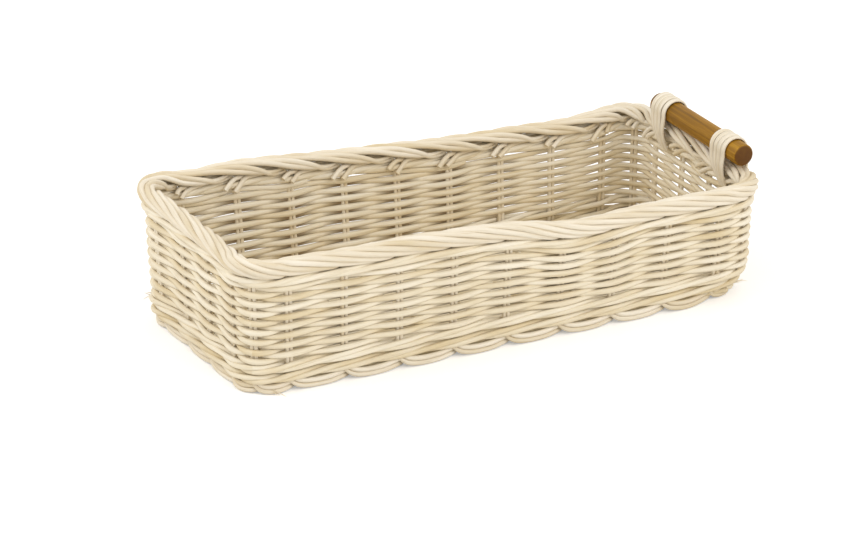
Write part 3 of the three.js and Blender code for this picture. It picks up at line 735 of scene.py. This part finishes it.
# %% Stained wood finish
def stained_wood(name):
    """Grain along Y. The dark lines of such wood are 1 to 3 mm apart and many centimetres long."""
    finish, tree, shader = new_finish(name)
    where = add_node(tree, "ShaderNodeTexCoord")
    grain_at = add_node(tree, "ShaderNodeVectorMath", {0: where.outputs["Object"], 1: (520.0, 14.0, 520.0)},
                        operation="MULTIPLY")
    grain = add_node(tree, "ShaderNodeTexNoise", {"Vector": grain_at.outputs[0], "Scale": 1.0, "Detail": 5.0,
                                                  "Roughness": 0.65, "Distortion": 0.3})
    broad_at = add_node(tree, "ShaderNodeVectorMath", {0: where.outputs["Object"], 1: (120.0, 9.0, 120.0)},
                        operation="MULTIPLY")
    broad = add_node(tree, "ShaderNodeTexNoise", {"Vector": broad_at.outputs[0], "Scale": 1.0, "Detail": 2.0})
    both = add_node(tree, "ShaderNodeMath", {0: broad.outputs["Fac"], 1: 0.5, 2: grain.outputs["Fac"]},
                    operation="MULTIPLY_ADD")
    stain = add_node(tree, "ShaderNodeValToRGB", {"Fac": both.outputs[0]})
    stain.color_ramp.elements[0].position = 0.5
    stain.color_ramp.elements[0].color = colour("#6A490E")
    stain.color_ramp.elements[1].position = 1.0
    stain.color_ramp.elements[1].color = colour("#BA8A28")
    stain.color_ramp.elements.new(0.72).color = colour("#946812")
    facing_end = add_node(tree, "ShaderNodeNewGeometry")
    turned = add_node(tree, "ShaderNodeSeparateXYZ", {0: facing_end.outputs["True Normal"]})
    end_share = add_node(tree, "ShaderNodeMath", {0: turned.outputs["Y"]}, operation="ABSOLUTE")
    end_grain = add_node(tree, "ShaderNodeMapRange", {"Value": end_share.outputs[0], "From Min": 0.6,
                                                      "From Max": 0.95, "To Min": 0.0, "To Max": 0.9})
    tinted = blend(tree, end_grain.outputs[0], stain.outputs["Color"], "#573207")
    tree.links.new(tinted, shader.inputs["Base Color"])
    shader.inputs["Specular IOR Level"].default_value = 0.25
    rough = add_node(tree, "ShaderNodeMapRange", {"Value": grain.outputs["Fac"], "To Min": 0.42,
                                                  "To Max": 0.62})
    tree.links.new(rough.outputs[0], shader.inputs["Roughness"])
    pores = add_node(tree, "ShaderNodeBump", {"Height": grain.outputs["Fac"], "Strength": 0.3,
                                              "Distance": 0.2 * MM})
    tree.links.new(pores.outputs[0], shader.inputs["Normal"])
    return finish


# %% Turn the bar
BAR_LOW, BAR_HIGH = (Vector(corner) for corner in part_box("grip_bar"))
BAR_CENTRE = (BAR_LOW + BAR_HIGH) / 2
BAR_RADIUS = (BAR_HIGH.x - BAR_LOW.x) / 2
BAR_LENGTH = BAR_HIGH.y - BAR_LOW.y
BAR_SIDES = 72
BAR_EDGE = 1.5
bpy.ops.object.select_all(action="DESELECT")
bpy.ops.mesh.primitive_cylinder_add(vertices=BAR_SIDES, radius=BAR_RADIUS, depth=BAR_LENGTH,
                                    location=BAR_CENTRE, rotation=(math.radians(90), 0, 0))
bar = bpy.context.object
bpy.ops.object.transform_apply()
bpy.ops.object.mode_set(mode="EDIT")
bpy.ops.mesh.select_mode(type="EDGE")
bpy.ops.mesh.select_all(action="DESELECT")
bpy.ops.object.mode_set(mode="OBJECT")
for edge in bar.data.edges:
    ends = [bar.data.vertices[i].co.y for i in edge.vertices]
    edge.select = abs(ends[0] - ends[1]) < MM
bpy.ops.object.mode_set(mode="EDIT")
bpy.ops.mesh.bevel(offset=BAR_EDGE * MM, segments=5, profile=0.5)
bpy.ops.object.mode_set(mode="OBJECT")
BAR_WOOD = stained_wood("stained dowel wood")
piece("grip_bar_dowel", [bar], BAR_WOOD, "bar_wood", "grip_bar", body="grip")
print("bar, mm:", round(2 * BAR_RADIUS / MM, 1), "by", round(BAR_LENGTH / MM, 1))

# %% [markdown]
# ## Lashings
# Four flat oval strips of cane go side by side over the bar, run down both faces of the end wall and are
# threaded into it under the rim, where they draw together. A strip is the flat side of a split rod: it starts
# as a plane grid laid along its path, gets its thickness from Solidify and its soft edges from subdivision.

# %% Cane strip finish
def cane_strip_finish(name):
    """Smooth pale strip with faint lines along it, about 1 mm apart across its 4 mm."""
    finish, tree, shader = new_finish(name)
    along = add_node(tree, "ShaderNodeUVMap", uv_map="UVMap")
    tone = add_node(tree, "ShaderNodeAttribute", attribute_name="tone")
    apart = add_node(tree, "ShaderNodeVectorMath", {0: (13.0, 29.0, 61.0), 3: tone.outputs["Fac"]},
                     operation="SCALE")
    lines_at = add_node(tree, "ShaderNodeVectorMath", {0: along.outputs[0], 1: (2.5, 7.0, 1.0),
                                                       2: apart.outputs[0]}, operation="MULTIPLY_ADD")
    lines = add_node(tree, "ShaderNodeTexNoise", {"Vector": lines_at.outputs[0], "Scale": 1.0, "Detail": 3.0})
    ground = add_node(tree, "ShaderNodeValToRGB", {"Fac": lines.outputs["Fac"]})
    ground.color_ramp.elements[0].position = 0.3
    ground.color_ramp.elements[0].color = colour("#DCCDAE")
    ground.color_ramp.elements[1].position = 0.62
    ground.color_ramp.elements[1].color = colour("#F0E7D6")
    tree.links.new(ground.outputs["Color"], shader.inputs["Base Color"])
    rough = add_node(tree, "ShaderNodeMapRange", {"Value": lines.outputs["Fac"], "To Min": 0.4,
                                                  "To Max": 0.6})
    tree.links.new(rough.outputs[0], shader.inputs["Roughness"])
    ridge = add_node(tree, "ShaderNodeBump", {"Height": lines.outputs["Fac"], "Strength": 0.2,
                                              "Distance": 0.15 * MM})
    tree.links.new(ridge.outputs[0], shader.inputs["Normal"])
    return finish


# %% Lash the bar
STRIPS = 4
STRIP_WIDTH = 3.95
STRIP_THICKNESS = 1.25
STRIP_ACROSS = 4
STRIP_CROWN = 0.5
STRIP_GAP, STRIP_STAGGER = 0.25, 0.2
BAR_GAP = 0.4
LEG_DROP = 5.0
LEG_TOP = 2.5
LEG_STEPS, OVER_STEPS = 21, 24
BACK_LASHING_SHIFT = 2.0
BAR_MM = BAR_CENTRE / MM
BAR_PLACE = SIDE_SPACES[0] + SIDE_SPACES[1] / 2
RIM_AT_BAR = rim_base(BAR_PLACE)
LEG_END = RIM_AT_BAR - LEG_DROP


def strip_path(middle_y, strip):
    """Points, outward directions and widths along one strip, from inside the wall over the bar to outside."""
    off = (strip - (STRIPS - 1) / 2) * (STRIP_WIDTH + STRIP_GAP)
    reach = BAR_RADIUS / MM + BAR_GAP + STRIP_THICKNESS / 2 + STRIP_STAGGER * (strip % 2)
    stray = draw.uniform(-0.5, 0.5)
    path = []
    legs = [(LEG_END, 4.6), (RIM_AT_BAR + 1, 7.0), (RIM_AT_BAR + 9, 8.7), (BAR_MM.z - LEG_TOP, reach)]
    for side in (-1, 1):
        part = []
        for i in range(LEG_STEPS + 1):
            height = mix(LEG_END, BAR_MM.z - LEG_TOP, i / LEG_STEPS)
            gather = 1 - ease(height, LEG_END, BAR_MM.z - 2)
            y = middle_y + off * (1 - 0.5 * gather) - 3.0 * gather + stray * (1 - gather)
            width = STRIP_WIDTH * (1 - 0.4 * gather)
            part.append((Vector((BAR_MM.x + side * through(legs, height), y, height)),
                         Vector((side, 0, 0)), width))
        path.append(part)
    over = []
    for i in range(1, OVER_STEPS):
        angle = math.radians(mix(195, -15, i / OVER_STEPS))
        point = Vector((reach * math.cos(angle), 0, reach * math.sin(angle))) + BAR_MM
        point.y = middle_y + off + stray
        over.append((point, Vector((math.cos(angle), 0, math.sin(angle))), STRIP_WIDTH))
    return path[0] + over + path[1][::-1]


def lay_strip(path):
    """A plane grid laid along a path, thickened and softened into a flat oval strip."""
    bpy.ops.object.select_all(action="DESELECT")
    bpy.ops.mesh.primitive_grid_add(x_subdivisions=len(path) - 1, y_subdivisions=STRIP_ACROSS, size=1)
    strip = bpy.context.object
    for vertex in strip.data.vertices:
        point, outward, width = path[round((vertex.co.x + 0.5) * (len(path) - 1))]
        across = vertex.co.y
        crown = STRIP_CROWN * (1 - 4 * across * across)
        vertex.co = (point + Vector((0, 1, 0)) * across * width + outward * crown) * MM
    solid = strip.modifiers.new("thickness", "SOLIDIFY")
    solid.thickness = STRIP_THICKNESS * MM
    solid.offset = 0
    bpy.ops.object.modifier_apply(modifier=solid.name)
    soft = strip.modifiers.new("soft edges", "SUBSURF")
    soft.levels = 1
    bpy.ops.object.modifier_apply(modifier=soft.name)
    tone = strip.data.attributes.new("tone", "FLOAT", "POINT")
    tone.data.foreach_set("value", [draw.random()] * len(strip.data.vertices))
    return strip


LASHING_CANE = cane_strip_finish("cane strip")
for name in ("lashing_front", "lashing_back"):
    low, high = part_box(name)
    middle_y = (low[1] + high[1]) / 2 / MM - (BACK_LASHING_SHIFT if low[1] > 0 else 0.0)
    strips = [lay_strip(strip_path(middle_y, strip)) for strip in range(STRIPS)]
    piece(name + "_cane", strips, LASHING_CANE, "lashing_cane", name)
print("strips laid:", 2 * STRIPS)
